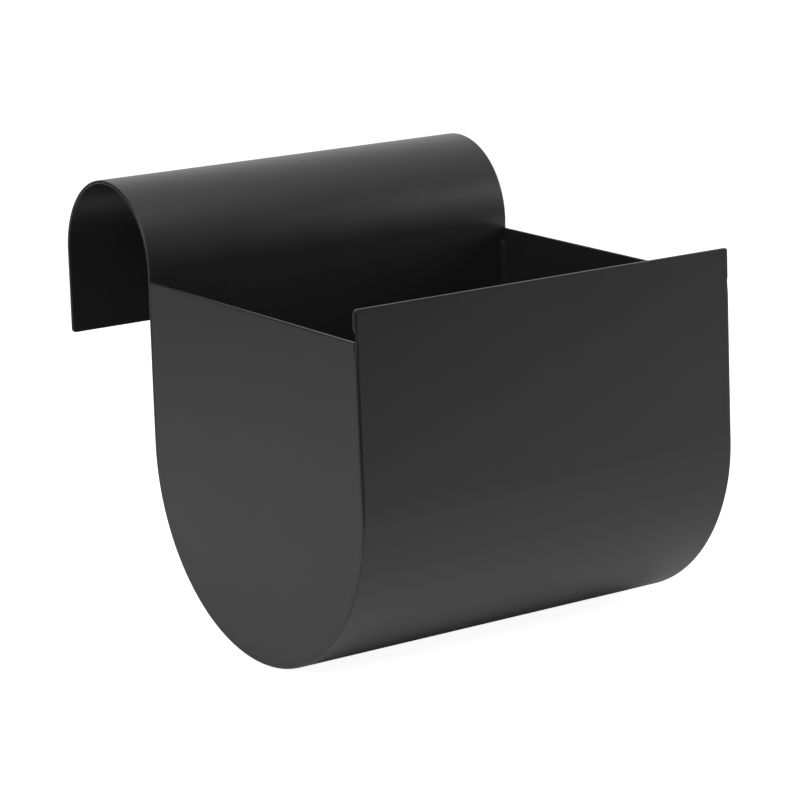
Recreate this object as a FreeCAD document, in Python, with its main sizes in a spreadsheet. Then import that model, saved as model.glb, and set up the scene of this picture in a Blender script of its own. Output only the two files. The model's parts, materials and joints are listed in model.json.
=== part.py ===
import FreeCAD, Part
import math
import os
import Sketcher

# Rail planter in millimetres, +X along the rail, +Y away from the trough, +Z up.
# The origin lies on the axis of the hook's half-round, midway along the rail.
# One steel sheet is bent into the hook and the half-round trough, and a flat panel is welded into each end.

SIZES = [
    ("planter_width", 236, "length of the bent sheet along the rail"),
    ("trough_depth", 200, "outside of the trough from front to back, at the axis of its bowl"),
    ("sheet_thickness", 2, "gauge of the bent sheet"),
    ("front_height", 104, "top of the front wall above the bowl's axis"),
    ("front_lean", 1.6, "degrees that the front wall leans back towards the rail"),
    ("hook_gap", 85, "clear width for the rail, between the back wall and the leg"),
    ("hook_rise", 92, "axis of the hook above the bowl's axis"),
    ("leg_length", 46.5, "lower end of the leg below the axis of the hook"),
    ("corner_radius", 2.5, "rounding of the sheet's four free corners"),
    ("ground_edge", 1.2, "radius ground along the sheet's outer edges after welding"),
    ("panel_thickness", 2, "gauge of the two end panels"),
    ("panel_height", 87.5, "top of the end panels above the bowl's axis"),
    ("panel_fit", 0.1, "gap between an end panel's outline and the sheet, closed by the weld"),
    ("weld_leg", 3, "leg of the fillet weld inside each end"),
    ("weld_crown", 0.4, "how far the weld's face bulges past flat"),
    ("weld_setback", 7, "end of the weld below the top of the end panel"),
]

# Ends and centre of a curve in a sketch, and the sketch's own origin
START, END, CENTRE = range(1, 4)
ORIGIN = (-1, 1)
TOLERANCE = 1e-4

doc = FreeCAD.newDocument("rail_planter")


def make_sheet():
    """Put every driving size in one spreadsheet, each in a cell with its own alias."""
    cells = doc.addObject("Spreadsheet::Sheet", "Sizes")
    for row, (alias, value, note) in enumerate(SIZES, start=1):
        cells.set(f"A{row}", note)
        cells.set(f"B{row}", str(value))
        cells.setAlias(f"B{row}", alias)
    doc.recompute()
    return cells


CELLS = make_sheet()


def size(alias):
    return float(CELLS.get(alias))


# Places that the driving sizes give, from which each sketch is first drawn
WIDTH = size("planter_width")
GAUGE = size("sheet_thickness")
LEG = size("leg_length")
LEAN = math.radians(size("front_lean"))
HOOK_RADIUS = size("hook_gap") / 2
BOWL_RADIUS = size("trough_depth") / 2
BOWL_Y = -(HOOK_RADIUS + BOWL_RADIUS)
BOWL_Z = -size("hook_rise")
PANEL_TOP = size("panel_height")
WELD_TOP = PANEL_TOP - size("weld_setback")


def point(across, up):
    return FreeCAD.Vector(across, up, 0)


def line(first, last):
    return Part.LineSegment(first, last)


def arc(centre, radius, first, last):
    return Part.ArcOfCircle(Part.Circle(centre, FreeCAD.Vector(0, 0, 1), radius), first, last)


def front_line(radius, height):
    """The front wall's line at this radius from the bowl's axis, up to a height above that axis."""
    foot = point(BOWL_Y - radius * math.cos(LEAN), BOWL_Z + radius * math.sin(LEAN))
    rise = BOWL_Z + height - foot.y
    return line(foot, foot + point(rise * math.tan(LEAN), rise))


def bowl_arc(radius):
    return arc(point(BOWL_Y, BOWL_Z), radius, math.pi - LEAN, 2 * math.pi)


def back_line(radius, height):
    foot = point(BOWL_Y + radius, BOWL_Z)
    return line(foot, foot + point(0, height))


def add_body(label, offset):
    """A sub-part that is drawn in the hook's frame and placed along the rail by an expression."""
    body = doc.addObject("PartDesign::Body", label)
    body.Label = label
    body.setExpression("Placement.Base.x", offset)
    return body


def add_sketch(body, name, plane):
    sketch = body.newObject("Sketcher::SketchObject", name)
    origin_plane = next(f for f in body.Origin.OriginFeatures if f.Role == plane)
    sketch.AttachmentSupport = [(origin_plane, "")]
    sketch.MapMode = "FlatFace"
    return sketch


def constrain(sketch, kind, *where):
    sketch.addConstraint(Sketcher.Constraint(kind, *where))


def drive(sketch, name, expression, kind, *where):
    """Add a dimension that takes its value from the spreadsheet."""
    index = sketch.addConstraint(Sketcher.Constraint(kind, *where))
    sketch.renameConstraint(index, name)
    sketch.setExpression(f"Constraints.{name}", expression)


def drive_trough(sketch, front, bowl, back, radius):
    """Tie a front line, bowl arc and back line into one smooth U, set below and before the hook."""
    constrain(sketch, "Tangent", front, START, bowl, START)
    constrain(sketch, "Tangent", bowl, END, back, START)
    constrain(sketch, "Vertical", back)
    drive(sketch, "bowl_radius", radius[0], "Radius", bowl, radius[1])
    drive(sketch, "bowl_drop", "Sizes.hook_rise", "DistanceY", bowl, CENTRE, *ORIGIN, -BOWL_Z)
    drive(sketch, "front_slope", "(90 - Sizes.front_lean) * 1 deg", "Angle", front, math.pi / 2 - LEAN)


def pad(body, sketch, length):
    feature = body.newObject("PartDesign::Pad", f"{body.Label}_pad")
    feature.Profile = sketch
    feature.setExpression("Length", length)
    doc.recompute()
    return feature


def fillet(body, base, name, radius, wanted):
    """Round every edge of the base feature that the test picks."""
    edges = [f"Edge{i}" for i, edge in enumerate(base.Shape.Edges, start=1) if wanted(edge)]
    feature = body.newObject("PartDesign::Fillet", name)
    feature.Base = (base, edges)
    feature.setExpression("Radius", radius)
    doc.recompute()
    return feature


def lies_on_an_end(edge):
    """Whether an edge of the sheet lies wholly in one of its two sawn ends."""
    xs = [vertex.X for vertex in edge.Vertexes]
    return max(xs) - min(xs) < TOLERANCE and min(abs(xs[0]), abs(xs[0] - WIDTH)) < TOLERANCE


def is_free_corner(edge):
    return lies_on_an_end(edge) and abs(edge.Length - GAUGE) < TOLERANCE


def is_bowl_rim(edge):
    """Whether an edge is the bowl's outer end edge, whose rounding runs on round the whole sheet."""
    round_edge = isinstance(edge.Curve, Part.Circle)
    return round_edge and lies_on_an_end(edge) and abs(edge.Curve.Radius - BOWL_RADIUS) < TOLERANCE


def make_wrap_sheet():
    """The bent sheet: front wall, half-round bowl, back wall, hook over the rail and a short leg."""
    body = add_body("wrap_sheet", "-Sizes.planter_width / 2")
    sketch = add_sketch(body, "wrap_profile", "YZ_Plane")
    centre = point(0, 0)
    outer_hook = HOOK_RADIUS + GAUGE
    leg_foot = point(HOOK_RADIUS, -LEG)
    edge_foot = point(outer_hook, -LEG)
    outer_front = front_line(BOWL_RADIUS, size("front_height"))
    inner_front = front_line(BOWL_RADIUS - GAUGE, size("front_height"))

    # The face that is outside round the trough and inside round the rail, from front to leg
    outer = sketch.addGeometry([
        outer_front,
        bowl_arc(BOWL_RADIUS),
        back_line(BOWL_RADIUS, -BOWL_Z),
        arc(centre, HOOK_RADIUS, 0, math.pi),
        line(point(HOOK_RADIUS, 0), leg_foot),
    ])
    front, bowl, back, hook, leg = outer
    # The other face of the sheet, one gauge away
    inner = sketch.addGeometry([
        inner_front,
        bowl_arc(BOWL_RADIUS - GAUGE),
        back_line(BOWL_RADIUS - GAUGE, -BOWL_Z),
        arc(centre, outer_hook, 0, math.pi),
        line(point(outer_hook, 0), edge_foot),
    ])
    front_2, bowl_2, back_2, hook_2, leg_2 = inner
    front_edge, leg_edge = sketch.addGeometry([
        line(outer_front.EndPoint, inner_front.EndPoint),
        line(leg_foot, edge_foot),
    ])

    drive_trough(sketch, front, bowl, back, ("Sizes.trough_depth / 2", BOWL_RADIUS))
    constrain(sketch, "Tangent", front_2, START, bowl_2, START)
    constrain(sketch, "Tangent", bowl_2, END, back_2, START)
    constrain(sketch, "Vertical", back_2)
    constrain(sketch, "Coincident", bowl_2, CENTRE, bowl, CENTRE)
    constrain(sketch, "Parallel", front_2, front)
    for wall, bend, tail in ((back, hook, leg), (back_2, hook_2, leg_2)):
        constrain(sketch, "Tangent", wall, END, bend, END)
        constrain(sketch, "Tangent", bend, START, tail, START)
        constrain(sketch, "Coincident", bend, CENTRE, *ORIGIN)
        constrain(sketch, "Vertical", tail)
    constrain(sketch, "Coincident", front_edge, START, front, END)
    constrain(sketch, "Coincident", front_edge, END, front_2, END)
    constrain(sketch, "Perpendicular", front_edge, front)
    constrain(sketch, "Coincident", leg_edge, START, leg, END)
    constrain(sketch, "Coincident", leg_edge, END, leg_2, END)
    constrain(sketch, "Horizontal", leg_edge)
    drive(sketch, "hook_radius", "Sizes.hook_gap / 2", "Radius", hook, HOOK_RADIUS)
    drive(sketch, "gauge", "Sizes.sheet_thickness", "DistanceX", leg_edge, START, leg_edge, END, GAUGE)
    drive(sketch, "leg_drop", "Sizes.leg_length", "DistanceY", leg, END, *ORIGIN, LEG)
    rise = size("front_height")
    drive(sketch, "front_top", "Sizes.front_height", "DistanceY", bowl, CENTRE, front, END, rise)

    bent = pad(body, sketch, "Sizes.planter_width")
    rounded = fillet(body, bent, "free_corners", "Sizes.corner_radius", is_free_corner)
    fillet(body, rounded, "ground_edges", "Sizes.ground_edge", is_bowl_rim)
    return body


def place_bowl_across(sketch, bowl):
    reach = "Sizes.hook_gap / 2 + Sizes.trough_depth / 2"
    drive(sketch, "bowl_reach", reach, "DistanceX", bowl, CENTRE, *ORIGIN, -BOWL_Y)


def make_end_panel(label, offset):
    """A flat panel cut to the inside of the trough and set flush with the end of the sheet."""
    body = add_body(label, offset)
    sketch = add_sketch(body, f"{label}_outline", "YZ_Plane")
    radius = BOWL_RADIUS - GAUGE - size("panel_fit")
    front_side = front_line(radius, PANEL_TOP)
    back_side = back_line(radius, PANEL_TOP)
    front, bowl, back, top = sketch.addGeometry([
        front_side,
        bowl_arc(radius),
        back_side,
        line(back_side.EndPoint, front_side.EndPoint),
    ])
    panel_radius = "Sizes.trough_depth / 2 - Sizes.sheet_thickness - Sizes.panel_fit"
    drive_trough(sketch, front, bowl, back, (panel_radius, radius))
    place_bowl_across(sketch, bowl)
    constrain(sketch, "Coincident", top, START, back, END)
    constrain(sketch, "Coincident", top, END, front, END)
    constrain(sketch, "Horizontal", top)
    drive(sketch, "panel_top", "Sizes.panel_height", "DistanceY", bowl, CENTRE, back, END, PANEL_TOP)
    pad(body, sketch, "Sizes.panel_thickness")
    return body


def make_weld_seam(label, offset, side):
    """A fillet weld run down the back corner, round the bowl and up the front corner of one end."""
    body = add_body(label, offset)
    path = add_sketch(body, f"{label}_path", "YZ_Plane")
    radius = BOWL_RADIUS - GAUGE
    front, bowl, back = path.addGeometry([
        front_line(radius, WELD_TOP),
        bowl_arc(radius),
        back_line(radius, WELD_TOP),
    ])
    drive_trough(path, front, bowl, back, ("Sizes.trough_depth / 2 - Sizes.sheet_thickness", radius))
    place_bowl_across(path, bowl)
    weld_top = "Sizes.panel_height - Sizes.weld_setback"
    drive(path, "back_end", weld_top, "DistanceY", bowl, CENTRE, back, END, WELD_TOP)
    drive(path, "front_end", weld_top, "DistanceY", bowl, CENTRE, front, END, WELD_TOP)

    # The weld's section at its upper back end: two legs in the corner and a bulging face between their toes
    section = add_sketch(body, f"{label}_section", "XY_Plane")
    section.setExpression("AttachmentOffset.Base.z", f"{weld_top} - Sizes.hook_rise")
    toe = size("weld_leg")
    crown = size("weld_crown")
    bulge = toe**2 / (4 * crown) + crown / 2
    half_turn = math.asin(toe / math.sqrt(2) / bulge)
    facing = -math.pi / 4 if side > 0 else -3 * math.pi / 4
    corner = point(0, -(HOOK_RADIUS + GAUGE))
    sheet_toe = corner + point(side * toe, 0)
    panel_toe = corner + point(0, -toe)
    middle = (sheet_toe + panel_toe) * 0.5
    inset = bulge - crown
    face_centre = middle - point(math.cos(facing), math.sin(facing)) * inset
    on_sheet, on_panel, face = section.addGeometry([
        line(corner, sheet_toe),
        line(corner, panel_toe),
        arc(face_centre, bulge, facing - half_turn, facing + half_turn),
    ])
    sheet_end, panel_end = (END, START) if side > 0 else (START, END)
    constrain(section, "Coincident", on_sheet, START, on_panel, START)
    constrain(section, "Coincident", on_sheet, END, face, sheet_end)
    constrain(section, "Coincident", on_panel, END, face, panel_end)
    constrain(section, "Horizontal", on_sheet)
    constrain(section, "Vertical", on_panel)
    constrain(section, "Vertical", on_sheet, START, *ORIGIN)
    drive(section, "wall_face", "Sizes.hook_gap / 2 + Sizes.sheet_thickness",
          "DistanceY", on_sheet, START, *ORIGIN, HOOK_RADIUS + GAUGE)
    drive(section, "panel_leg", "Sizes.weld_leg", "DistanceY", on_panel, END, on_panel, START, toe)
    drive(section, "face_radius", "Sizes.weld_leg ^ 2 / (4 * Sizes.weld_crown) + Sizes.weld_crown / 2",
          "Radius", face, bulge)
    ends = (on_sheet, START, on_sheet, END) if side > 0 else (on_sheet, END, on_sheet, START)
    drive(section, "sheet_leg", "Sizes.weld_leg", "DistanceX", *ends, toe)

    bead = body.newObject("PartDesign::AdditivePipe", f"{label}_bead")
    bead.Profile = section
    bead.Spine = path
    doc.recompute()
    return body


def check(bodies):
    """Stop if any step failed, or any sub-part isn't one valid solid."""
    for item in doc.Objects:
        if "Invalid" in item.State or "Error" in item.State:
            raise RuntimeError(f"{item.Label} failed: {item.State}")
        if item.isDerivedFrom("Sketcher::SketchObject") and not item.FullyConstrained:
            raise RuntimeError(f"{item.Label} is not fully constrained")
    for body in bodies:
        shape = body.Shape
        if shape.isNull() or not shape.isValid() or len(shape.Solids) != 1:
            raise RuntimeError(f"{body.Label} is not one valid solid")


left_end = "-Sizes.planter_width / 2"
right_end = "Sizes.planter_width / 2"
sub_parts = [
    make_wrap_sheet(),
    make_end_panel("end_panel_left", left_end),
    make_end_panel("end_panel_right", f"{right_end} - Sizes.panel_thickness"),
    make_weld_seam("weld_seam_left", f"{left_end} + Sizes.panel_thickness", 1),
    make_weld_seam("weld_seam_right", f"{right_end} - Sizes.panel_thickness", -1),
]
doc.recompute()
check(sub_parts)

os.makedirs("parts", exist_ok=True)
for sub_part in sub_parts:
    sub_part.Shape.exportStep(f"parts/{sub_part.Label}.step")
    print(f"{sub_part.Label}: {sub_part.Shape.Volume / 1000:.1f} cm3")
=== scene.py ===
import json
import math

import bmesh
import bpy
import numpy as np
from mathutils import Matrix, Vector


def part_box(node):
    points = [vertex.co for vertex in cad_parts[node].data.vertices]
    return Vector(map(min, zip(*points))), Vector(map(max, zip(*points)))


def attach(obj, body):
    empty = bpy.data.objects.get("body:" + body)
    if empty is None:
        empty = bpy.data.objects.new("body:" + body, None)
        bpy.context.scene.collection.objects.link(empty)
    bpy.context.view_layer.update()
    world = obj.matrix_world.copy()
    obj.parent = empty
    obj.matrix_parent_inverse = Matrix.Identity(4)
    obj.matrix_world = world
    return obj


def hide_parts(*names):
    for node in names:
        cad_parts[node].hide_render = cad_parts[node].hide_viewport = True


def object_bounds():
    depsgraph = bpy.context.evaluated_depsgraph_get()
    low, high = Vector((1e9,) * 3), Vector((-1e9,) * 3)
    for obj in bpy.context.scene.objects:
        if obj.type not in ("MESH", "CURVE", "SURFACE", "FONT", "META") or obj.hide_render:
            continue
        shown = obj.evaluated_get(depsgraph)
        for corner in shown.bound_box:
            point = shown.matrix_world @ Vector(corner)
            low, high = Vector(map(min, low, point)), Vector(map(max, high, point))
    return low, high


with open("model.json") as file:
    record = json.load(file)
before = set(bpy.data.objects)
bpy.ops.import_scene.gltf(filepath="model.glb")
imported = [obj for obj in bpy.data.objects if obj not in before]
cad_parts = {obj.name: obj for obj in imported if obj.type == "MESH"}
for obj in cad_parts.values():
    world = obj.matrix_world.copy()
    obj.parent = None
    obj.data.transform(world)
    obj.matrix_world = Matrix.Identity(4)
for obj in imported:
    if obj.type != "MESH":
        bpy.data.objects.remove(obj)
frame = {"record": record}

bl_info = {
    "name": "Balcony rail planter",
    "version": (1, 0, 0),
    "blender": (4, 5, 0),
    "location": "3D View > Sidebar > Planter",
    "description": "Finishes a rail planter: a bent steel sheet, two end panels and their welds",
    "category": "Object",
}

# Places and sizes read from the packed model, in metres: +X along the rail, +Y behind it, +Z up
MM = 0.001
CAD_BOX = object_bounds()
SHEET_LOW, SHEET_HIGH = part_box("wrap_sheet")
PANEL_LOW, PANEL_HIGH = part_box("end_panel_left")
WELD_LOW, WELD_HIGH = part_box("weld_seam_left")
MOUNTS = {mount["name"]: mount for mount in frame["record"]["mounts"]}
HOOK_RADIUS = MOUNTS["rail_saddle"]["dims"]["r_mm"] * MM
BOWL_RADIUS = round((-SHEET_LOW.y - HOOK_RADIUS) / 2, 4)
BOWL_DROP = round(-SHEET_LOW.z - BOWL_RADIUS, 4)

# How finely the sheet and the panels are cut: rows along them, closer ones from a little above the
# grinding run-out to a little below it, columns across the sheet, and steps round corners, edges and bends
STATION = 1.5 * MM
FINE_STATION = 0.4 * MM
FINE_ABOVE = 3 * MM
FINE_BELOW = 2 * MM
COLUMNS = 12
CORNER_STEPS = 8
EDGE_STEPS = 5
BEND_STEPS = 160

# Flat strip beside a worked edge, which keeps the shading of the faces flat
EDGE_BORDER = 0.5 * MM

# How finely the weld beads are cut: rows along a bead, and steps across its face
BEAD_STATION = 0.35 * MM
BEAD_STEPS = 10

# Edges sharper than these stay sharp in the shading
SHEET_CREASE = math.radians(50)
BEAD_CREASE = math.radians(60)

# Lengths along the sheet over which one worked edge passes into the next
RUN_OUT_START = 2 * MM
RUN_OUT_FADE = 8 * MM
OUTER_STEP = 1 * MM
INNER_STEP = 0.5 * MM
REAR_STEP = 1 * MM
EDGE_FADE = 20 * MM

# Inputs of every tree that bends something along the fold line
BEND_INPUTS = [("Fold Line", "NodeSocketObject"), ("Coat", "NodeSocketMaterial")]

# How the coat cured on smooth sheet, and over a weld
SHEET_COAT = {"roughness": 0.34, "gloss": 0.5, "grain_height": 0.03 * MM}
WELD_COAT = {"roughness": 0.38, "gloss": 0.12, "grain_height": 0.02 * MM}

# The studio, with azimuths from +X towards +Y and elevations, both in degrees. The backdrop fades
# with the cosine of the angle from its middle
FLOOR_REACH = 20.0
DIM_SIDE = 225
BACKDROP_AZIMUTH = 35
BACKDROP_ELEVATION = 35
BACKDROP_GONE = 0.1
BACKDROP_FULL = 1.05
SENSOR_WIDTH = 36.0

# Softboxes: name, setting that holds the power, azimuth, elevation, distance and size
SOFTBOXES = (
    ("key_softbox", "key", 225, 38, 1.6, 0.7),
    ("top_softbox", "top", 270, 70, 1.1, 0.6),
    ("side_softbox", "side", 339, 18, 1.4, 0.7),
    ("left_softbox", "left", 190, 24, 1.4, 1.2),
)


def linear(hex_colour):
    """An sRGB hex colour as linear red, green, blue and alpha."""
    levels = [int(hex_colour[i:i + 2], 16) / 255 for i in (1, 3, 5)]
    return [v / 12.92 if v <= 0.04045 else ((v + 0.055) / 1.055) ** 2.4 for v in levels] + [1.0]


class PlanterSheetSettings(bpy.types.PropertyGroup):
    """Sizes of the bent sheet and of the two panels in its ends"""

    width: bpy.props.FloatProperty(
        name="Width", description="Length of the sheet along the rail",
        default=SHEET_HIGH.x - SHEET_LOW.x, unit="LENGTH", subtype="DISTANCE")
    gauge: bpy.props.FloatProperty(
        name="Gauge", description="Thickness of the bent sheet",
        default=SHEET_HIGH.y - HOOK_RADIUS, unit="LENGTH", subtype="DISTANCE")
    bowl_radius: bpy.props.FloatProperty(
        name="Bowl radius", description="Outer radius of the half-round trough",
        default=BOWL_RADIUS, unit="LENGTH", subtype="DISTANCE")
    bowl_drop: bpy.props.FloatProperty(
        name="Bowl drop", description="Axis of the bowl below the axis of the hook",
        default=BOWL_DROP, unit="LENGTH", subtype="DISTANCE")
    front_height: bpy.props.FloatProperty(
        name="Front height", description="Top of the front wall above the bowl's axis",
        default=104 * MM, unit="LENGTH", subtype="DISTANCE")
    front_lean: bpy.props.FloatProperty(
        name="Front lean", description="How far the front wall leans back towards the rail",
        default=math.radians(1.6), unit="ROTATION", subtype="ANGLE")
    hook_radius: bpy.props.FloatProperty(
        name="Hook radius", description="Inner radius of the hook",
        default=HOOK_RADIUS, unit="LENGTH", subtype="DISTANCE")
    leg_length: bpy.props.FloatProperty(
        name="Leg length", description="Foot of the leg below the axis of the hook",
        default=46.5 * MM, unit="LENGTH", subtype="DISTANCE")
    corner_radius: bpy.props.FloatProperty(
        name="Corner radius", description="Rounding of the sheet's four free corners",
        default=2.1 * MM, unit="LENGTH", subtype="DISTANCE")
    deburred_edge: bpy.props.FloatProperty(
        name="Deburred edge", description="Edge radius where the sheet is only deburred",
        default=0.6 * MM, unit="LENGTH", subtype="DISTANCE")
    front_edge: bpy.props.FloatProperty(
        name="Ground front edge", description="Outer edge radius, ground down both sides of the front wall",
        default=1.4 * MM, unit="LENGTH", subtype="DISTANCE")
    bowl_edge: bpy.props.FloatProperty(
        name="Ground bowl edge", description="Outer edge radius, ground round both rims of the bowl",
        default=0.9 * MM, unit="LENGTH", subtype="DISTANCE")
    seam_edge: bpy.props.FloatProperty(
        name="Closed seam",
        description="Edge radius left where the seam round an end panel is filled and ground",
        default=0.1 * MM, unit="LENGTH", subtype="DISTANCE")
    rear_seam_edge: bpy.props.FloatProperty(
        name="Rear seam", description="Edge radius beside the seam at the back wall, which is left open",
        default=0.45 * MM, unit="LENGTH", subtype="DISTANCE")
    run_out: bpy.props.FloatProperty(
        name="Grinding run-out", description="How far the grinding runs on above an end panel at the front",
        default=4.5 * MM, unit="LENGTH", subtype="DISTANCE")
    run_out_depth: bpy.props.FloatProperty(
        name="Run-out depth", description="How deep the run-out cuts into the sheet's end",
        default=0.45 * MM, unit="LENGTH", subtype="DISTANCE")
    run_out_bevel: bpy.props.FloatProperty(
        name="Run-out bevel", description="Bevel that the run-out leaves on the inner face",
        default=1.3 * MM, unit="LENGTH", subtype="DISTANCE")
    run_out_edge: bpy.props.FloatProperty(
        name="Run-out edge", description="Edge radius that the run-out leaves on the outer face",
        default=0.65 * MM, unit="LENGTH", subtype="DISTANCE")
    panel_top: bpy.props.FloatProperty(
        name="Panel top", description="Height of the end panels' top edge, from the hook's axis",
        default=PANEL_HIGH.z, unit="LENGTH", subtype="DISTANCE")
    panel_thickness: bpy.props.FloatProperty(
        name="Panel thickness", description="Thickness of the end panels",
        default=PANEL_HIGH.x - PANEL_LOW.x, unit="LENGTH", subtype="DISTANCE")


class PlanterWeldSettings(bpy.types.PropertyGroup):
    """Sizes of the weld beads inside the two ends"""

    leg: bpy.props.FloatProperty(
        name="Leg", description="How far the bead reaches along the sheet and along the panel",
        default=WELD_HIGH.x - WELD_LOW.x, unit="LENGTH", subtype="DISTANCE")
    crown: bpy.props.FloatProperty(
        name="Crown", description="How far the face of the bead bulges, or sinks in where it is negative",
        default=-0.75 * MM, unit="LENGTH", subtype="DISTANCE")
    top: bpy.props.FloatProperty(
        name="Top", description="Height of the bead's two ends, from the hook's axis",
        default=WELD_HIGH.z, unit="LENGTH", subtype="DISTANCE")
    pitch: bpy.props.FloatProperty(
        name="Ripple pitch", description="Distance from one ripple of the bead to the next",
        default=2.4 * MM, unit="LENGTH", subtype="DISTANCE")
    depth: bpy.props.FloatProperty(
        name="Ripple depth", description="Share of the bead's size that a ripple sinks by",
        default=0.015, subtype="FACTOR")
    bow: bpy.props.FloatProperty(
        name="Ripple bow", description="How far a ripple trails behind at the toes of the bead",
        default=1.6 * MM, unit="LENGTH", subtype="DISTANCE")
    taper: bpy.props.FloatProperty(
        name="Taper", description="Length over which the bead rounds off at each end",
        default=1.5 * MM, unit="LENGTH", subtype="DISTANCE")
    sway: bpy.props.FloatProperty(
        name="Sway", description="Share of its size by which the bead swells and thins along its run",
        default=0.1, subtype="FACTOR")


class PlanterFinishSettings(bpy.types.PropertyGroup):
    """Colours of the finish"""

    coat: bpy.props.FloatVectorProperty(
        name="Coat", description="Colour of the powder coat",
        default=linear("#1A1A1A"), size=4, subtype="COLOR")
    coat_worn: bpy.props.FloatVectorProperty(
        name="Coat, thin", description="Colour of the coat where it cured thinner",
        default=linear("#1E1E1E"), size=4, subtype="COLOR")
    floor: bpy.props.FloatVectorProperty(
        name="Floor", description="Colour of the studio floor",
        default=linear("#F4F4F4"), size=4, subtype="COLOR")


class PlanterStageSettings(bpy.types.PropertyGroup):
    """Floor, light and camera"""

    floor_gap: bpy.props.FloatProperty(
        name="Floor gap", description="Air between the floor and the bowl",
        default=1 * MM, unit="LENGTH", subtype="DISTANCE")
    floor_edge: bpy.props.FloatProperty(
        name="Floor edge",
        description="Where the floor ends towards the dim side of the studio, outside the picture",
        default=0.5, unit="LENGTH", subtype="DISTANCE")
    floor_lift: bpy.props.FloatProperty(
        name="Floor lift", description="White added to the floor where the camera sees it", default=0.93)
    floor_gain: bpy.props.FloatProperty(
        name="Floor gain", description="How many times paler the floor is where a surface mirrors it",
        default=1.2)
    ambient: bpy.props.FloatProperty(
        name="Ambient", description="Share of the backdrop's white that it gives as light",
        default=0.23, subtype="FACTOR")
    key: bpy.props.FloatProperty(
        name="Key light", description="Power of the softbox beside the camera", default=8.5, unit="POWER")
    top: bpy.props.FloatProperty(
        name="Top light", description="Power of the softbox above the planter", default=2.5, unit="POWER")
    side: bpy.props.FloatProperty(
        name="Side light", description="Power of the low softbox to the right", default=8.6, unit="POWER")
    left: bpy.props.FloatProperty(
        name="Left light", description="Power of the low softbox to the left", default=9.2, unit="POWER")
    azimuth: bpy.props.FloatProperty(
        name="Azimuth", description="Where the camera stands round the planter",
        default=math.radians(-34.487), unit="ROTATION", subtype="ANGLE")
    elevation: bpy.props.FloatProperty(
        name="Elevation", description="How high the camera stands",
        default=math.radians(13.608), unit="ROTATION", subtype="ANGLE")
    roll: bpy.props.FloatProperty(
        name="Roll", description="Tilt of the camera about its own line of sight",
        default=math.radians(-1.418), unit="ROTATION", subtype="ANGLE")
    distance: bpy.props.FloatProperty(
        name="Distance", description="Camera to the point that it looks at",
        default=1.7724, unit="LENGTH", subtype="DISTANCE")
    aim: bpy.props.FloatVectorProperty(
        name="Aim", description="Point that the camera looks at",
        default=(2.36 * MM, -101.56 * MM, -77.26 * MM), size=3, unit="LENGTH", subtype="TRANSLATION")
    lens: bpy.props.FloatProperty(
        name="Lens", description="Focal length of the camera in millimetres", default=146.76)


# Node trees and meshes

def add(tree, kind, settings=None, inputs=None):
    """Add a node with its own settings, and give each named or numbered input a value or a link.

    A Mix node's inputs share their names, so they go by number: 2 and 3 are its two numbers, and 6 and 7
    its two colours, which come out mixed at 0 and at 2.
    """
    node = tree.nodes.new(kind)
    for name, value in (settings or {}).items():
        setattr(node, name, value)
    for key, value in (inputs or {}).items():
        if isinstance(value, bpy.types.NodeSocket):
            tree.links.new(value, node.inputs[key])
        else:
            node.inputs[key].default_value = value
    return node


def new_tree(name, inputs):
    """A Geometry Nodes tree with these named inputs after its geometry, and its group input node."""
    tree = bpy.data.node_groups.new(name, "GeometryNodeTree")
    tree.interface.new_socket("Geometry", in_out="INPUT", socket_type="NodeSocketGeometry")
    for label, kind in inputs:
        tree.interface.new_socket(label, in_out="INPUT", socket_type=kind)
    tree.interface.new_socket("Geometry", in_out="OUTPUT", socket_type="NodeSocketGeometry")
    return tree, add(tree, "NodeGroupInput").outputs


def end_tree(tree, geometry, material):
    """Close a tree the way every one of them ends: real geometry with its material."""
    real = add(tree, "GeometryNodeRealizeInstances", None, {0: geometry})
    coated = add(tree, "GeometryNodeSetMaterial", None, {0: real.outputs[0], "Material": material})
    add(tree, "NodeGroupOutput", None, {0: coated.outputs[0]})


def realised(base, tree, values, name):
    """Run a tree on a base object and keep the result as a plain mesh object under a new name."""
    modifier = base.modifiers.new("shape", "NODES")
    modifier.node_group = tree
    for socket in tree.interface.items_tree:
        if socket.in_out == "INPUT" and socket.name in values:
            modifier[socket.identifier] = values[socket.name]
    evaluated = base.evaluated_get(bpy.context.evaluated_depsgraph_get())
    mesh = bpy.data.meshes.new_from_object(evaluated)
    base.modifiers.remove(modifier)
    bpy.data.objects.remove(base)
    return place(mesh, name)


def place(data, name):
    """Put a mesh, curve, lamp or camera into the scene as an object at the origin."""
    data.name = name
    made = bpy.data.objects.new(name, data)
    bpy.context.scene.collection.objects.link(made)
    return made


def poly_curve(name, points, cyclic=False):
    """A curve of straight runs through (x, y, z) points."""
    curve = bpy.data.curves.new(name, "CURVE")
    curve.dimensions = "3D"
    spline = curve.splines.new("POLY")
    spline.points.add(len(points) - 1)
    for point, place_at in zip(spline.points, points):
        point.co = (*place_at, 1)
    spline.use_cyclic_u = cyclic
    return place(curve, name)


def smooth_shell(piece, angle):
    """Turn a closed piece's faces outwards, and shade it smooth but for edges sharper than an angle."""
    shell = bmesh.new()
    shell.from_mesh(piece.data)
    bmesh.ops.recalc_face_normals(shell, faces=shell.faces)
    shell.to_mesh(piece.data)
    shell.free()
    piece.data.shade_smooth()
    piece.data.set_sharp_from_angle(angle=angle)


def hand_over(piece, node):
    """Let a finished piece ride with the planter and stand for its CAD node."""
    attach(piece, "root")
    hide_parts(node)


def direction(azimuth, elevation):
    """Unit vector at an azimuth from +X towards +Y and an elevation, both in degrees."""
    flat = math.cos(math.radians(elevation))
    turn = math.radians(azimuth)
    return Vector((flat * math.cos(turn), flat * math.sin(turn), math.sin(math.radians(elevation))))


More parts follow.
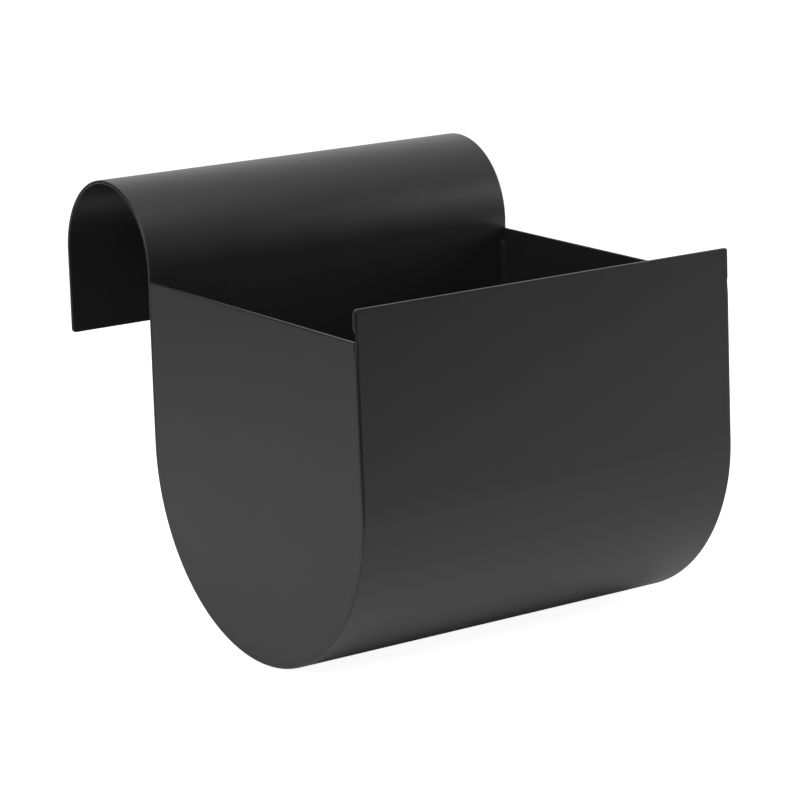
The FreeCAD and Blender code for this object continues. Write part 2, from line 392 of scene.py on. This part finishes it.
def arc(centre, radius, first, last, steps):
    """Points of an arc from one angle to another, both ends included."""
    angles = [first + (last - first) * i / steps for i in range(steps + 1)]
    return [(centre[0] + radius * math.cos(a), centre[1] + radius * math.sin(a)) for a in angles]


def spaced(first, last, step):
    """Evenly spaced places from one to just short of another, about a step apart."""
    count = max(round((last - first) / step), 1)
    return [first + (last - first) * i / count for i in range(count)]


def mitres(outline):
    """At each point of a closed outline, the step that moves both sides beside it out by one."""
    steps = []
    for i, here in enumerate(outline):
        before = Vector(here) - Vector(outline[i - 1])
        after = Vector(outline[(i + 1) % len(outline)]) - Vector(here)
        first = Vector((before.y, -before.x)).normalized()
        second = Vector((after.y, -after.x)).normalized()
        steps.append((first + second) / (1 + first.dot(second)))
    return steps


def worked_plate(outline, thickness, low_edge, high_edge, high_round):
    """A flat plate with worked edges, between height 0 and its thickness.

    The outline runs counter-clockwise, and its second half mirrors the count of its first, so that
    rows across the plate join them. The size of the worked edge at each point is given for both faces.
    The low edge is rounded, and the high one goes from a flat bevel to a round as its roundness goes to 1.
    """
    quarter = [math.pi / 2 * i / EDGE_STEPS for i in range(EDGE_STEPS + 1)]
    plate = bmesh.new()
    columns = []
    for (x, y), out, low, high, rounding in zip(outline, mitres(outline), low_edge, high_edge, high_round):
        section = [(low + EDGE_BORDER, 0)]
        section += [(low * (1 - math.sin(a)), low * (1 - math.cos(a))) for a in quarter]
        for a in quarter:
            share = 2 * a / math.pi
            inset = share + (1 - math.cos(a) - share) * rounding
            below = 1 - share + (share - math.sin(a)) * rounding
            section.append((high * inset, thickness - high * below))
        section += [(high + EDGE_BORDER, thickness)]
        spots = [(x - out.x * inset, y - out.y * inset, up) for inset, up in section]
        columns.append([plate.verts.new(spot) for spot in spots])
    count = len(columns)
    for i, column in enumerate(columns):
        following = columns[(i + 1) % count]
        for k in range(len(column) - 1):
            plate.faces.new((column[k], following[k], following[k + 1], column[k + 1]))
    for row in range(count // 2 - 1):
        for k in (0, -1):
            corners = [columns[i][k] for i in (row, row + 1, count - 2 - row, count - 1 - row)]
            plate.faces.new(corners)
    return plate


# The path that the sheet is bent along

def fold_corners(sheet):
    """Corners of the middle line before bending, as (y, z, bend radius), from the front edge to the leg."""
    bowl = sheet.bowl_radius - sheet.gauge / 2
    hook = sheet.hook_radius + sheet.gauge / 2
    lean = sheet.front_lean
    axis_y = -sheet.hook_radius - sheet.bowl_radius
    bottom = -sheet.bowl_drop - bowl
    foot = Vector((axis_y - bowl * math.cos(lean), -sheet.bowl_drop + bowl * math.sin(lean)))
    upward = Vector((math.sin(lean), math.cos(lean)))
    front_edge = foot + upward * front_length(sheet)
    front_corner = foot - upward * (foot.y - bottom) / upward.y
    return [
        (*front_edge, 0),
        (*front_corner, bowl),
        (axis_y + bowl, bottom, bowl),
        (-hook, hook, hook),
        (hook, hook, hook),
        (hook, -sheet.leg_length, 0),
    ]


def front_length(sheet):
    """Straight part of the front wall."""
    foot = sheet.bowl_radius * math.sin(sheet.front_lean)
    return (sheet.front_height - foot) / math.cos(sheet.front_lean)


def bowl_length(sheet):
    """Round part of the bowl, along the middle line."""
    return (sheet.bowl_radius - sheet.gauge / 2) * (math.pi + sheet.front_lean)


def sheet_length(sheet):
    """Length of the flat blank, along its middle line."""
    hook = math.pi * (sheet.hook_radius + sheet.gauge / 2)
    return front_length(sheet) + bowl_length(sheet) + sheet.bowl_drop + hook + sheet.leg_length


def runs_to(sheet, height):
    """Where the middle line passes a height on the front wall, and again on the back wall."""
    front = (sheet.front_height - sheet.bowl_drop - height) / math.cos(sheet.front_lean)
    back = front_length(sheet) + bowl_length(sheet) + sheet.bowl_drop + height
    return front, back


def fold_line(sheet):
    """The fold corners as a curve whose point radius is the bend radius."""
    corners = fold_corners(sheet)
    line = poly_curve("fold_line", [(0, y, z) for y, z, radius in corners])
    for point, (y, z, radius) in zip(line.data.splines[0].points, corners):
        point.radius = radius
    return line


def bend_nodes(tree, geometry, line):
    """Lay flat geometry round a fold line: X stays across, Y runs along the line, Z stands off it."""
    corners = add(tree, "GeometryNodeObjectInfo", None, {"Object": line}).outputs["Geometry"]
    bends = add(tree, "GeometryNodeInputRadius").outputs[0]
    bent = add(tree, "GeometryNodeFilletCurve", {"mode": "POLY"},
               {"Curve": corners, "Count": BEND_STEPS, "Radius": bends}).outputs[0]
    place_in = add(tree, "GeometryNodeInputPosition").outputs[0]
    flat = add(tree, "ShaderNodeSeparateXYZ", None, {0: place_in}).outputs
    sample = add(tree, "GeometryNodeSampleCurve", {"mode": "LENGTH"},
                 {"Curves": bent, "Length": flat["Y"]}).outputs
    normal = add(tree, "ShaderNodeVectorMath", {"operation": "CROSS_PRODUCT"},
                 {0: (1, 0, 0), 1: sample["Tangent"]}).outputs[0]
    across = add(tree, "ShaderNodeCombineXYZ", None, {"X": flat["X"]}).outputs[0]
    on_line = add(tree, "ShaderNodeVectorMath", {"operation": "ADD"},
                  {0: sample["Position"], 1: across}).outputs[0]
    stood_off = add(tree, "ShaderNodeVectorMath", {"operation": "MULTIPLY_ADD"},
                    {0: normal, 1: flat["Z"], 2: on_line}).outputs[0]
    return add(tree, "GeometryNodeSetPosition", None,
               {"Geometry": geometry, "Position": stood_off}).outputs[0]


# Finishes

def powder_coat(name, finish, roughness, gloss, grain_height):
    """Fine-texture polyester powder coat, sprayed dry and baked on steel.

    It cures to a closed matte black skin: no metal shows, the sheen is broad and pale where light
    grazes it, and the melted grains leave a faint pebble with slow, wider orange peel under it.
    Over a weld, soot and spatter leave it duller.
    """
    material = bpy.data.materials.new(name)
    material.use_nodes = True
    tree = material.node_tree
    tree.nodes.clear()
    where = add(tree, "ShaderNodeTexCoord").outputs["Object"]
    # Real grains are about 0.3 mm; they are drawn at 0.8 mm, the least that the picture can show
    grain_size = 0.8 * MM
    peel_size = 4 * MM
    peel_height = 0.02 * MM
    patch_size = 45 * MM
    patch_roughness = 0.04
    grain = add(tree, "ShaderNodeTexNoise", None,
                {"Vector": where, "Scale": 1 / grain_size, "Detail": 2.0, "Roughness": 0.55}).outputs["Fac"]
    peel = add(tree, "ShaderNodeTexNoise", None,
               {"Vector": where, "Scale": 1 / peel_size, "Detail": 1.0, "Roughness": 0.4}).outputs["Fac"]
    patch = add(tree, "ShaderNodeTexNoise", None,
                {"Vector": where, "Scale": 1 / patch_size, "Detail": 3.0, "Roughness": 0.5}).outputs["Fac"]
    colour = add(tree, "ShaderNodeMix", {"data_type": "RGBA"},
                 {"Factor": patch, 6: finish.coat, 7: finish.coat_worn}).outputs[2]
    uneven = add(tree, "ShaderNodeMapRange", None,
                 {"Value": patch, "To Min": roughness - patch_roughness,
                  "To Max": roughness + patch_roughness}).outputs[0]
    peeled = add(tree, "ShaderNodeBump", None,
                 {"Height": peel, "Strength": 0.25, "Distance": peel_height}).outputs[0]
    pebbled = add(tree, "ShaderNodeBump", None,
                  {"Height": grain, "Strength": 0.4, "Distance": grain_height, "Normal": peeled}).outputs[0]
    coat = add(tree, "ShaderNodeBsdfPrincipled", None,
               {"Base Color": colour, "Roughness": uneven, "IOR": 1.5, "Specular IOR Level": gloss,
                "Normal": pebbled}).outputs[0]
    add(tree, "ShaderNodeOutputMaterial", None, {"Surface": coat})
    return material


class PLANTER_OT_bent_sheet(bpy.types.Operator):
    """Cut the flat blank, work its edges and bend it into leg, hook, back wall, bowl and front wall"""

    bl_idname = "planter.bent_sheet"
    bl_label = "Bent sheet"

    def execute(self, context):
        sheet = context.scene.planter_sheet
        blank = self.blank(sheet)
        line = fold_line(sheet)
        tree, inputs = new_tree("bend_sheet", BEND_INPUTS)
        end_tree(tree, bend_nodes(tree, inputs["Geometry"], inputs["Fold Line"]), inputs["Coat"])
        coat = powder_coat("powder_coated_sheet", context.scene.planter_finish, **SHEET_COAT)
        piece = realised(blank, tree, {"Fold Line": line, "Coat": coat}, "bent_sheet")
        bpy.data.objects.remove(line)
        smooth_shell(piece, SHEET_CREASE)
        hand_over(piece, "wrap_sheet")
        return {"FINISHED"}

    def blank(self, sheet):
        """The flat blank: X across, Y along its middle line from the front edge, Z to its inner face."""
        side = self.side(sheet)
        outline = side + [(-x, y) for x, y in reversed(side)]
        plate = worked_plate(outline, sheet.gauge, *self.edges(sheet, [y for x, y in outline]))
        across = [edge for edge in plate.edges if edge.calc_length() > sheet.width / 2]
        bmesh.ops.subdivide_edges(plate, edges=across, cuts=COLUMNS - 1, use_grid_fill=True)
        bmesh.ops.translate(plate, verts=plate.verts, vec=(0, 0, -sheet.gauge / 2))
        mesh = bpy.data.meshes.new("blank")
        plate.to_mesh(mesh)
        plate.free()
        return place(mesh, "blank")

    def side(self, sheet):
        """The right side of the blank as (x, y) points, with the rounded corner at each of its ends."""
        half = sheet.width / 2
        corner = sheet.corner_radius
        length = sheet_length(sheet)
        panel = runs_to(sheet, sheet.panel_top)[0]
        ground = panel - sheet.run_out
        fine = ground - FINE_ABOVE
        coarse = panel + FINE_BELOW
        stations = spaced(corner, fine, STATION) + spaced(fine, coarse, FINE_STATION)
        stations += spaced(coarse, length - corner, STATION)
        stops = [ground - RUN_OUT_START, ground, panel, panel + RUN_OUT_FADE]
        depths = [0, sheet.run_out_depth, sheet.run_out_depth, 0]
        points = arc((half - corner, corner), corner, -math.pi / 2, 0, CORNER_STEPS)
        points += [(half - np.interp(y, stops, depths), y) for y in stations[1:]]
        return points + arc((half - corner, length - corner), corner, 0, math.pi / 2, CORNER_STEPS)

    def edges(self, sheet, along):
        """Size of the outer and inner edge and roundness of the inner one, at places along the sheet."""
        free = sheet.deburred_edge
        closed = sheet.seam_edge
        rear = sheet.rear_seam_edge
        bowl = front_length(sheet)
        back = bowl + bowl_length(sheet)
        panel, rear_panel = runs_to(sheet, sheet.panel_top)
        ground = panel - sheet.run_out
        outer = (
            (0, free),
            (sheet.corner_radius, sheet.front_edge),
            (ground - RUN_OUT_START, sheet.front_edge),
            (ground, sheet.run_out_edge),
            (panel - OUTER_STEP, sheet.run_out_edge),
            (panel + OUTER_STEP, sheet.front_edge),
            (bowl, sheet.front_edge),
            (bowl + EDGE_FADE, sheet.bowl_edge),
            (back, sheet.bowl_edge),
            (back + EDGE_FADE, free),
        )
        inner = (
            (0, free),
            (sheet.corner_radius, closed),
            (ground - RUN_OUT_START, closed),
            (ground, sheet.run_out_bevel),
            (panel - INNER_STEP, sheet.run_out_bevel),
            (panel + INNER_STEP, closed),
            (back, closed),
            (back + EDGE_FADE, rear),
            (rear_panel, rear),
            (rear_panel + REAR_STEP, free),
        )
        inner_round = (
            (ground - RUN_OUT_START, 1),
            (ground, 0),
            (panel - INNER_STEP, 0),
            (panel + INNER_STEP, 1),
        )
        return [np.interp(along, *zip(*stops)) for stops in (outer, inner, inner_round)]


class PLANTER_OT_end_panels(bpy.types.Operator):
    """Cut the two flat panels to the inside of the trough and set them flush into its ends"""

    bl_idname = "planter.end_panels"
    bl_label = "End panels"

    def execute(self, context):
        sheet = context.scene.planter_sheet
        coat = powder_coat("powder_coated_panel", context.scene.planter_finish, **SHEET_COAT)
        outline = self.outline(sheet)
        edges = [self.edge(sheet, y, z) for y, z in outline]
        outside = sheet.width / 2
        inside = outside - sheet.panel_thickness
        for side, node in ((-1, "end_panel_left"), (1, "end_panel_right")):
            plate = worked_plate(outline, sheet.panel_thickness, edges, edges, [1] * len(outline))
            for vertex in plate.verts:
                y, z, height = vertex.co
                vertex.co = (side * (inside + height), y, z)
            mesh = bpy.data.meshes.new(node)
            plate.to_mesh(mesh)
            plate.free()
            mesh.materials.append(coat)
            piece = place(mesh, f"{node}_coated")
            smooth_shell(piece, SHEET_CREASE)
            hand_over(piece, node)
        return {"FINISHED"}

    def edge(self, sheet, y, z):
        """Edge radius at a point of the outline: free along the top, open at the back wall, else filled."""
        if z > sheet.panel_top - sheet.deburred_edge:
            return sheet.deburred_edge
        if z > -sheet.bowl_drop and y > -sheet.hook_radius - sheet.bowl_radius:
            return sheet.rear_seam_edge
        return sheet.seam_edge

    def outline(self, sheet):
        """The panel's outline as (y, z) points: down the front wall, round the bowl, up the back wall."""
        radius = sheet.bowl_radius - sheet.gauge
        axis = (-sheet.hook_radius - sheet.bowl_radius, -sheet.bowl_drop)
        lean = sheet.front_lean
        bowl = arc(axis, radius, math.pi - lean, 2 * math.pi, 2 * round(radius * math.pi / STATION / 2) + 1)
        rows = round((sheet.panel_top - axis[1]) / STATION)
        front, back = bowl[0], bowl[-1]
        front_wall = []
        back_wall = []
        for row in range(rows):
            down = row / rows
            height = sheet.panel_top * (1 - down) + front[1] * down
            front_wall.append((front[0] + (height - front[1]) * math.tan(lean), height))
            back_wall.append((back[0], sheet.panel_top * (1 - down) + back[1] * down))
        return front_wall + bowl + back_wall[::-1]


class PLANTER_OT_weld_beads(bpy.types.Operator):
    """Lay the two rippled weld beads along the inner corners between the sheet and its end panels"""

    bl_idname = "planter.weld_beads"
    bl_label = "Weld beads"

    def execute(self, context):
        sheet = context.scene.planter_sheet
        weld = context.scene.planter_weld
        coat = powder_coat("powder_coated_weld", context.scene.planter_finish, **WELD_COAT)
        first, last = runs_to(sheet, weld.top)
        inside = sheet.width / 2 - sheet.panel_thickness
        line = fold_line(sheet)
        tree = self.bead_tree()
        for side, node in ((-1, "weld_seam_left"), (1, "weld_seam_right")):
            values = {
                "Fold Line": line, "Coat": coat, "Start": first, "End": last,
                "Corner": side * inside, "Inward": float(-side), "Stand Off": sheet.gauge / 2,
                "Leg": weld.leg, "Taper": weld.taper, "Sway": weld.sway,
                "Pitch": weld.pitch, "Depth": weld.depth, "Bow": weld.bow,
            }
            piece = realised(self.section(weld), tree, values, f"{node}_coated")
            smooth_shell(piece, BEAD_CREASE)
            hand_over(piece, node)
        bpy.data.objects.remove(line)
        return {"FINISHED"}

    def section(self, weld):
        """Section of the bead, a closed curve with its corner at the origin and legs on sheet and panel."""
        points = [(0, 0, 0)]
        for i in range(BEAD_STEPS + 1):
            share = i / BEAD_STEPS
            bulge = 4 * share * (1 - share) * weld.crown / math.sqrt(2)
            on_sheet = weld.leg * (1 - share) + bulge
            on_panel = weld.leg * share + bulge
            points.append((on_sheet, -on_panel, 0))
        return poly_curve("bead_section", points, cyclic=True)

    def bead_tree(self):
        """Sweep the section straight, ripple it, round its ends off and bend it along the fold line."""
        sizes = ("Start", "End", "Corner", "Inward", "Stand Off",
                 "Leg", "Taper", "Sway", "Pitch", "Depth", "Bow")
        tree, given = new_tree("weld_bead", BEND_INPUTS + [(size, "NodeSocketFloat") for size in sizes])
        start = add(tree, "ShaderNodeCombineXYZ", None, {"Y": given["Start"]}).outputs[0]
        end = add(tree, "ShaderNodeCombineXYZ", None, {"Y": given["End"]}).outputs[0]
        run = add(tree, "GeometryNodeCurvePrimitiveLine", None, {"Start": start, "End": end}).outputs[0]
        cut = add(tree, "GeometryNodeResampleCurve", {"mode": "LENGTH"},
                  {"Curve": run, "Length": BEAD_STATION}).outputs[0]
        swept = add(tree, "GeometryNodeCurveToMesh", None,
                    {"Curve": cut, "Profile Curve": given["Geometry"], "Fill Caps": True}).outputs[0]
        place_in = add(tree, "GeometryNodeInputPosition").outputs[0]
        flat = add(tree, "ShaderNodeSeparateXYZ", None, {0: place_in}).outputs

        # Ripples that trail behind at the toes, which lie at -1 and 1 across the bead's face
        lead = add(tree, "ShaderNodeMath", {"operation": "SUBTRACT"},
                   {0: flat["X"], 1: flat["Z"]}).outputs[0]
        side = add(tree, "ShaderNodeMath", {"operation": "DIVIDE"}, {0: lead, 1: given["Leg"]}).outputs[0]
        bowed = add(tree, "ShaderNodeMath", {"operation": "MULTIPLY"}, {0: side, 1: side}).outputs[0]
        trail = add(tree, "ShaderNodeMath", {"operation": "MULTIPLY_ADD"},
                    {0: bowed, 1: given["Bow"], 2: flat["Y"]}).outputs[0]
        turns = add(tree, "ShaderNodeMath", {"operation": "DIVIDE"},
                    {0: trail, 1: given["Pitch"]}).outputs[0]
        phase = add(tree, "ShaderNodeMath", {"operation": "FRACT"}, {0: turns}).outputs[0]
        rise = add(tree, "ShaderNodeMath", {"operation": "MULTIPLY_ADD"},
                   {0: phase, 1: 2.0, 2: -1.0}).outputs[0]
        sunk = add(tree, "ShaderNodeMath", {"operation": "MULTIPLY"}, {0: rise, 1: rise}).outputs[0]
        ripple = add(tree, "ShaderNodeMath", {"operation": "MULTIPLY"},
                     {0: sunk, 1: given["Depth"]}).outputs[0]

        # Slow swell along the run, as a hand-laid bead has, from a fixed stretch of noise
        swell_length = 14 * MM
        drift = add(tree, "ShaderNodeMath", {"operation": "DIVIDE"},
                    {0: flat["Y"], 1: swell_length}).outputs[0]
        slow = add(tree, "ShaderNodeTexNoise", {"noise_dimensions": "1D"},
                   {"W": drift, "Detail": 1.0}).outputs["Fac"]
        centred = add(tree, "ShaderNodeMath", {"operation": "SUBTRACT"}, {0: slow, 1: 0.5}).outputs[0]
        swell = add(tree, "ShaderNodeMath", {"operation": "MULTIPLY"},
                    {0: centred, 1: given["Sway"]}).outputs[0]
        grown = add(tree, "ShaderNodeMath", {"operation": "SUBTRACT"}, {0: swell, 1: ripple}).outputs[0]

        # Ends that round off, just short of a point, so that their caps keep an area
        short_of_point = 0.995
        from_start = add(tree, "ShaderNodeMath", {"operation": "SUBTRACT"},
                         {0: flat["Y"], 1: given["Start"]}).outputs[0]
        from_end = add(tree, "ShaderNodeMath", {"operation": "SUBTRACT"},
                       {0: given["End"], 1: flat["Y"]}).outputs[0]
        nearest = add(tree, "ShaderNodeMath", {"operation": "MINIMUM"},
                      {0: from_start, 1: from_end}).outputs[0]
        left = add(tree, "ShaderNodeMapRange", None,
                   {"Value": nearest, "From Max": given["Taper"],
                    "To Min": short_of_point, "To Max": 0.0}).outputs[0]
        fallen = add(tree, "ShaderNodeMath", {"operation": "MULTIPLY"}, {0: left, 1: left}).outputs[0]
        height = add(tree, "ShaderNodeMath", {"operation": "SUBTRACT"}, {0: 1.0, 1: fallen}).outputs[0]
        rounded = add(tree, "ShaderNodeMath", {"operation": "SQRT"}, {0: height}).outputs[0]
        full = add(tree, "ShaderNodeMath", {"operation": "ADD"}, {0: grown, 1: 1.0}).outputs[0]
        scale = add(tree, "ShaderNodeMath", {"operation": "MULTIPLY"}, {0: full, 1: rounded}).outputs[0]

        # The scaled section, laid into the corner between the sheet and the panel
        reach = add(tree, "ShaderNodeMath", {"operation": "MULTIPLY"}, {0: flat["X"], 1: scale}).outputs[0]
        x = add(tree, "ShaderNodeMath", {"operation": "MULTIPLY_ADD"},
                {0: reach, 1: given["Inward"], 2: given["Corner"]}).outputs[0]
        z = add(tree, "ShaderNodeMath", {"operation": "MULTIPLY_ADD"},
                {0: flat["Z"], 1: scale, 2: given["Stand Off"]}).outputs[0]
        laid = add(tree, "ShaderNodeCombineXYZ", None, {"X": x, "Y": flat["Y"], "Z": z}).outputs[0]
        straight = add(tree, "GeometryNodeSetPosition", None,
                       {"Geometry": swept, "Position": laid}).outputs[0]
        end_tree(tree, bend_nodes(tree, straight, given["Fold Line"]), given["Coat"])
        return tree


class PLANTER_OT_stage(bpy.types.Operator):
    """Set up the pale floor, the soft studio light and the camera"""

    bl_idname = "planter.stage"
    bl_label = "Stage"

    def execute(self, context):
        stage = context.scene.planter_stage
        context.scene.view_settings.view_transform = "Standard"
        self.floor(stage, context.scene.planter_finish)
        self.world(context.scene, stage)
        self.softboxes(stage)
        self.camera(context.scene, stage)
        return {"FINISHED"}

    def floor(self, stage, finish):
        """Matte painted floor: pale and even, white where it is seen, with the planter's shadow kept."""
        out = direction(DIM_SIDE, 0)
        along = direction(DIM_SIDE + 90, 0)
        level = Vector((0, 0, CAD_BOX[0].z - stage.floor_gap))
        corners = [
            level + out * far + along * aside
            for far, aside in (
                (stage.floor_edge, -FLOOR_REACH),
                (stage.floor_edge, FLOOR_REACH),
                (-FLOOR_REACH, FLOOR_REACH),
                (-FLOOR_REACH, -FLOOR_REACH),
            )
        ]
        mesh = bpy.data.meshes.new("studio_floor")
        mesh.from_pydata(corners, [], [(0, 1, 2, 3)])
        material = bpy.data.materials.new("matte_painted_floor")
        material.use_nodes = True
        tree = material.node_tree
        tree.nodes.clear()
        path = add(tree, "ShaderNodeLightPath").outputs
        mirrored = add(tree, "ShaderNodeMath", {"operation": "MAXIMUM"},
                       {0: path["Is Glossy Ray"], 1: path["Is Transmission Ray"]}).outputs[0]
        in_gloss = [channel * stage.floor_gain for channel in finish.floor]
        tone = add(tree, "ShaderNodeMix", {"data_type": "RGBA"},
                   {"Factor": mirrored, 6: finish.floor, 7: in_gloss}).outputs[2]
        paint = add(tree, "ShaderNodeBsdfDiffuse", None, {"Color": tone}).outputs[0]
        lift = add(tree, "ShaderNodeMath", {"operation": "MULTIPLY"},
                   {0: path["Is Camera Ray"], 1: stage.floor_lift}).outputs[0]
        white = add(tree, "ShaderNodeEmission", None, {"Strength": lift}).outputs[0]
        painted = add(tree, "ShaderNodeAddShader", None, {0: paint, 1: white}).outputs[0]
        # From below the floor is clear, so that it never hides the planter's underside
        below = add(tree, "ShaderNodeNewGeometry").outputs["Backfacing"]
        clear = add(tree, "ShaderNodeBsdfTransparent").outputs[0]
        one_sided = add(tree, "ShaderNodeMixShader", None, {0: below, 1: painted, 2: clear}).outputs[0]
        add(tree, "ShaderNodeOutputMaterial", None, {"Surface": one_sided})
        mesh.materials.append(material)
        place(mesh, "studio_floor")

    def world(self, scene, stage):
        """White backdrop behind the planter and to its right, dim round the camera, white where it shows."""
        world = bpy.data.worlds.new("studio")
        world.use_nodes = True
        tree = world.node_tree
        tree.nodes.clear()
        path = add(tree, "ShaderNodeLightPath").outputs
        towards = add(tree, "ShaderNodeTexCoord").outputs["Generated"]
        middle = direction(BACKDROP_AZIMUTH, BACKDROP_ELEVATION)
        facing = add(tree, "ShaderNodeVectorMath", {"operation": "DOT_PRODUCT"},
                     {0: towards, 1: middle}).outputs["Value"]
        backdrop = add(tree, "ShaderNodeMapRange", {"interpolation_type": "SMOOTHSTEP"},
                       {"Value": facing, "From Min": BACKDROP_GONE, "From Max": BACKDROP_FULL}).outputs[0]
        light = add(tree, "ShaderNodeMath", {"operation": "MULTIPLY"},
                    {0: backdrop, 1: stage.ambient}).outputs[0]
        mirrored = add(tree, "ShaderNodeMath", {"operation": "MAXIMUM"},
                       {0: path["Is Glossy Ray"], 1: path["Is Transmission Ray"]}).outputs[0]
        lit = add(tree, "ShaderNodeMix", None, {"Factor": mirrored, 2: light, 3: backdrop}).outputs[0]
        strength = add(tree, "ShaderNodeMix", None,
                       {"Factor": path["Is Camera Ray"], 2: lit, 3: 1.0}).outputs[0]
        air = add(tree, "ShaderNodeBackground", None,
                  {"Color": (1, 1, 1, 1), "Strength": strength}).outputs[0]
        add(tree, "ShaderNodeOutputWorld", None, {"Surface": air})
        scene.world = world

    def softboxes(self, stage):
        """Square softboxes that face the planter."""
        centre = (CAD_BOX[0] + CAD_BOX[1]) / 2
        for name, setting, azimuth, elevation, distance, size in SOFTBOXES:
            lamp = bpy.data.lights.new(name, "AREA")
            lamp.size = size
            lamp.energy = getattr(stage, setting)
            made = place(lamp, name)
            out = direction(azimuth, elevation)
            made.location = centre + out * distance
            made.rotation_euler = (-out).to_track_quat("-Z", "Y").to_euler()

    def camera(self, scene, stage):
        """The photograph's view: turned, raised and tilted about the point that it looks at."""
        camera = bpy.data.cameras.new("camera")
        camera.lens = stage.lens
        camera.sensor_width = SENSOR_WIDTH
        made = place(camera, "camera")
        aimed = Matrix.Translation(stage.aim)
        turned = Matrix.Rotation(stage.azimuth, 4, "Z")
        raised = Matrix.Rotation(math.pi / 2 - stage.elevation, 4, "X")
        rolled = Matrix.Rotation(stage.roll, 4, "Z")
        backed = Matrix.Translation((0, 0, stage.distance))
        made.matrix_world = aimed @ turned @ raised @ rolled @ backed
        scene.camera = made


class PLANTER_PT_sidebar(bpy.types.Panel):
    """Sizes, finish and steps of the planter"""

    bl_label = "Rail planter"
    bl_idname = "PLANTER_PT_sidebar"
    bl_space_type = "VIEW_3D"
    bl_region_type = "UI"
    bl_category = "Planter"

    def draw(self, context):
        for operator in OPERATORS:
            self.layout.operator(operator.bl_idname)
        for name, group in SETTINGS.items():
            box = self.layout.box()
            box.label(text=group.__doc__)
            for setting in group.__annotations__:
                box.prop(getattr(context.scene, name), setting)


SETTINGS = {
    "planter_sheet": PlanterSheetSettings,
    "planter_weld": PlanterWeldSettings,
    "planter_finish": PlanterFinishSettings,
    "planter_stage": PlanterStageSettings,
}
OPERATORS = (PLANTER_OT_bent_sheet, PLANTER_OT_end_panels, PLANTER_OT_weld_beads, PLANTER_OT_stage)


def register():
    for made in (*SETTINGS.values(), *OPERATORS, PLANTER_PT_sidebar):
        bpy.utils.register_class(made)
    for name, group in SETTINGS.items():
        setattr(bpy.types.Scene, name, bpy.props.PointerProperty(type=group))


def unregister():
    for name in SETTINGS:
        delattr(bpy.types.Scene, name)
    for made in (PLANTER_PT_sidebar, *reversed(OPERATORS), *reversed(SETTINGS.values())):
        bpy.utils.unregister_class(made)


def main():
    register()
    bpy.ops.planter.bent_sheet()
    bpy.ops.planter.end_panels()
    bpy.ops.planter.weld_beads()
    bpy.ops.planter.stage()


if __name__ == "__main__":
    main()
